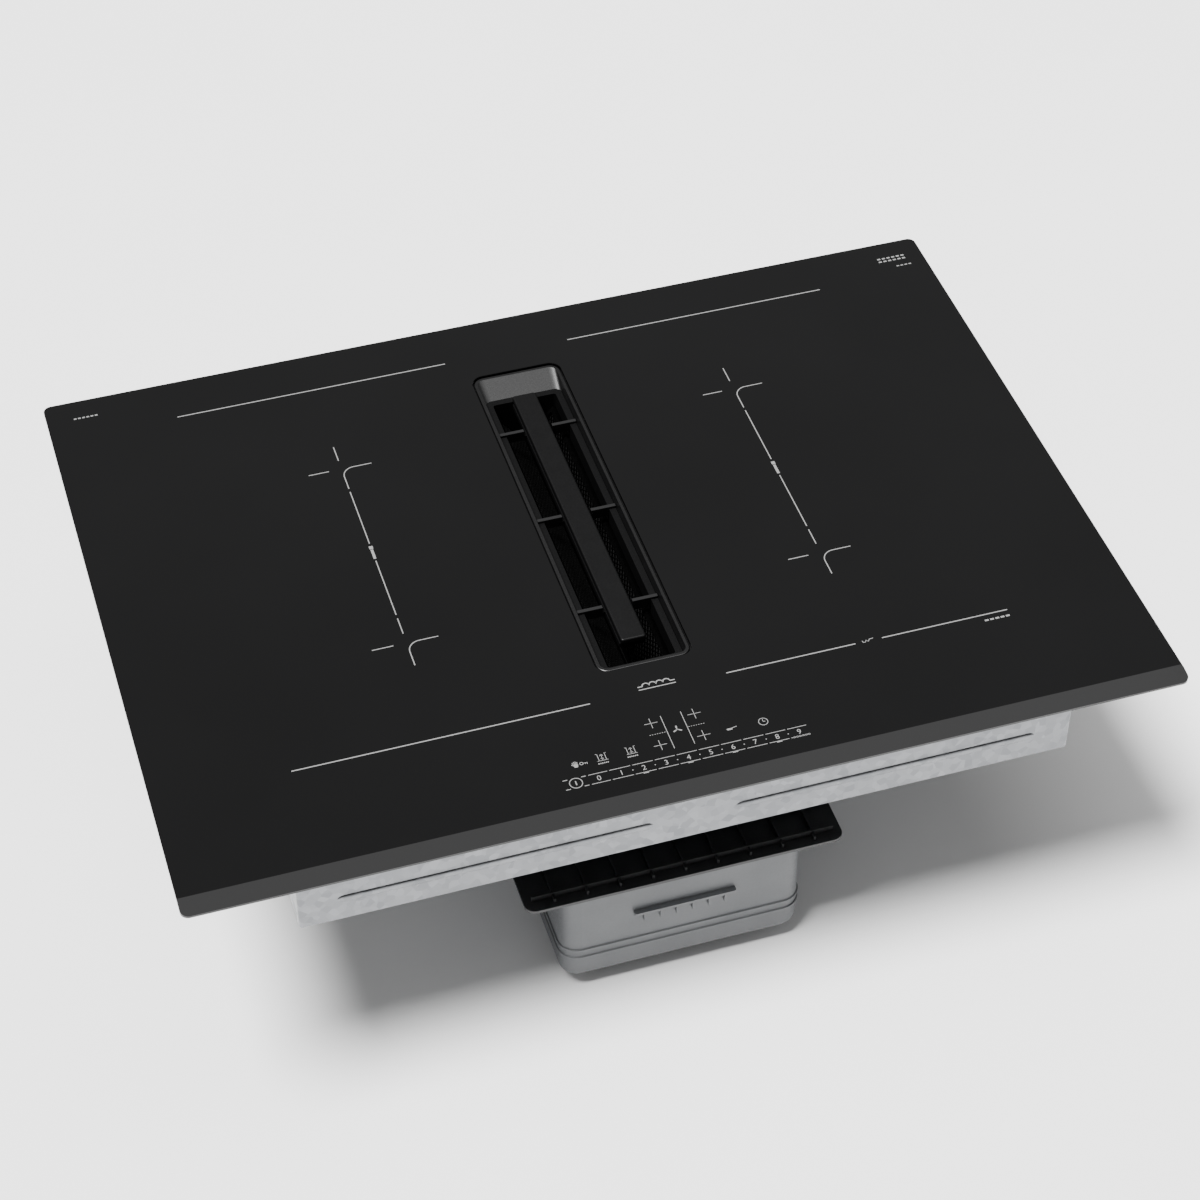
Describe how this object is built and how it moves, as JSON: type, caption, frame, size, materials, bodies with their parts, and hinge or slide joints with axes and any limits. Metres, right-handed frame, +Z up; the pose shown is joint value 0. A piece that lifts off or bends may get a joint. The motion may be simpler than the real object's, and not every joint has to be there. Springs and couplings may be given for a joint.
{
  "type": "venting induction hob",
  "caption": "Built-in induction hob with a downdraft extractor: bevelled black glass over flexible cooking zones, a lift-out filter cassette in the central air inlet, extractor fan and overflow tank below.",
  "frame": {"origin": "middle of the worktop cut-out, on the worktop's top surface, which is the underside of the foam seal", "axes": "+X to the user's right, +Y away from the user, +Z up"},
  "size_m": [0.71, 0.522, 0.223],
  "materials": {
    "ceramic_glass": "polished black ceramic glass",
    "foam_tape": "matt",
    "silicone": "satin",
    "satin_black_plastic": "satin",
    "matt_black_plastic": "fine matt grain",
    "filter_mesh": "dark coated expanded metal",
    "stainless_steel": "brushed",
    "galvanised_steel": "spangled zinc",
    "housing_plastic": "moulded, matt",
    "wheel_plastic": "glass-filled, matt",
    "polished_steel": "ground",
    "aluminium": "mill finish",
    "copper": "enamelled wire",
    "tank_plastic": "moulded, satin",
    "rubber": "matt",
    "latch_plastic": "satin",
    "circuit_board": "solder mask",
    "ribbon_grey": "satin",
    "terminal_white": "satin",
    "gland_plastic": "satin",
    "zinc_steel": "zinc plated",
    "mica": "silvery flakes",
    "ferrite": "sintered, matt",
    "sensor_ceramic": "matt",
    "post_plastic": "satin",
    "former_plastic": "satin"
  },
  "bodies": {
    "hob": {"glass_plate": "ceramic_glass", "glass_seal": "foam_tape", "tray_adhesive": "silicone", "inlet_collar": "satin_black_plastic", "induction_tray": "galvanised_steel", "air_shaft": "housing_plastic", "plenum_wall": "housing_plastic", "fan_deck": "housing_plastic", "fan_scroll": "housing_plastic", "outlet_port": "housing_plastic", "motor_mount": "aluminium", "motor_stator": "copper", "tank_gasket": "rubber", "control_holder": "matt_black_plastic", "control_board": "circuit_board", "ribbon_cable": "ribbon_grey", "mains_filter_board": "circuit_board", "terminal_block": "terminal_white", "terminal_cover": "matt_black_plastic", "cable_gland": "gland_plastic", "worktop_clamps": "zinc_steel", "motor_screws": "zinc_steel", "deck_screws": "zinc_steel", "module_screws": "zinc_steel", "cover_screws": "zinc_steel", "latch_pins": "polished_steel", "mica_sheets": "mica", "ferrite_bars": "ferrite", "temperature_sensors": "sensor_ceramic", "carrier_posts": "post_plastic", "board_standoffs": "post_plastic", "board_screws": "zinc_steel", "coil_carrier_left": "aluminium", "coil_carrier_right": "aluminium", "coil_formers_left": "former_plastic", "coil_formers_right": "former_plastic", "power_board_left": "circuit_board", "power_board_right": "circuit_board", "heatsink_left": "aluminium", "heatsink_right": "aluminium", "cooling_fan_left": "matt_black_plastic", "cooling_fan_right": "matt_black_plastic", "coil_back_left": "copper", "coil_back_right": "copper", "coil_front_left": "copper", "coil_front_right": "copper"},
    "filter_cassette": {"filter_frame": "matt_black_plastic", "lift_bar": "satin_black_plastic", "grease_filter_left": "filter_mesh", "grease_filter_right": "filter_mesh", "filter_rail": "stainless_steel"},
    "drip_tray": {"collecting_tray": "matt_black_plastic"},
    "extractor_wheel": {"fan_impeller": "wheel_plastic", "motor_rotor": "galvanised_steel", "motor_shaft": "polished_steel"},
    "cooling_wheel_left": {"cooling_impeller_left": "wheel_plastic"},
    "cooling_wheel_right": {"cooling_impeller_right": "wheel_plastic"},
    "tank": {"overflow_tank": "tank_plastic"},
    "latch_left": {"tank_latch_left": "latch_plastic"},
    "latch_right": {"tank_latch_right": "latch_plastic"}
  },
  "joints": [
    {"name": "cassette_lift", "type": "slide", "parent": "hob", "child": "filter_cassette", "axis": [0, 0, 1], "range_m": [0, 0.24]},
    {"name": "drip_tray_lift", "type": "slide", "parent": "hob", "child": "drip_tray", "axis": [0, 0, 1], "range_m": [0, 0.12]},
    {"name": "extractor_spin", "type": "hinge", "parent": "hob", "child": "extractor_wheel", "pos_m": [-0.012, 0.045, -0.18], "axis": [0, 0, 1], "continuous": true},
    {"name": "cooling_spin_left", "type": "hinge", "parent": "hob", "child": "cooling_wheel_left", "pos_m": [-0.1544, -0.119, -0.045], "axis": [0, 0, 1], "continuous": true},
    {"name": "cooling_spin_right", "type": "hinge", "parent": "hob", "child": "cooling_wheel_right", "pos_m": [0.1544, -0.119, -0.045], "axis": [0, 0, 1], "continuous": true},
    {"name": "tank_drop", "type": "slide", "parent": "hob", "child": "tank", "axis": [0, 0, -1], "range_m": [0, 0.04]},
    {"name": "latch_swing_left", "type": "hinge", "parent": "hob", "child": "latch_left", "pos_m": [-0.101, -0.146, -0.119], "axis": [0, 1, 0], "range_deg": [0, 80.3]},
    {"name": "latch_swing_right", "type": "hinge", "parent": "hob", "child": "latch_right", "pos_m": [0.101, -0.146, -0.119], "axis": [0, -1, 0], "range_deg": [0, 80.3]}
  ],
  "couplings": [
    {"joint": "drip_tray_lift", "follows": "cassette_lift", "ratio": 0.5},
    {"joint": "latch_swing_left", "follows": "tank_drop", "rad_per_m": 34.9},
    {"joint": "latch_swing_right", "follows": "tank_drop", "rad_per_m": 34.9}
  ]
}
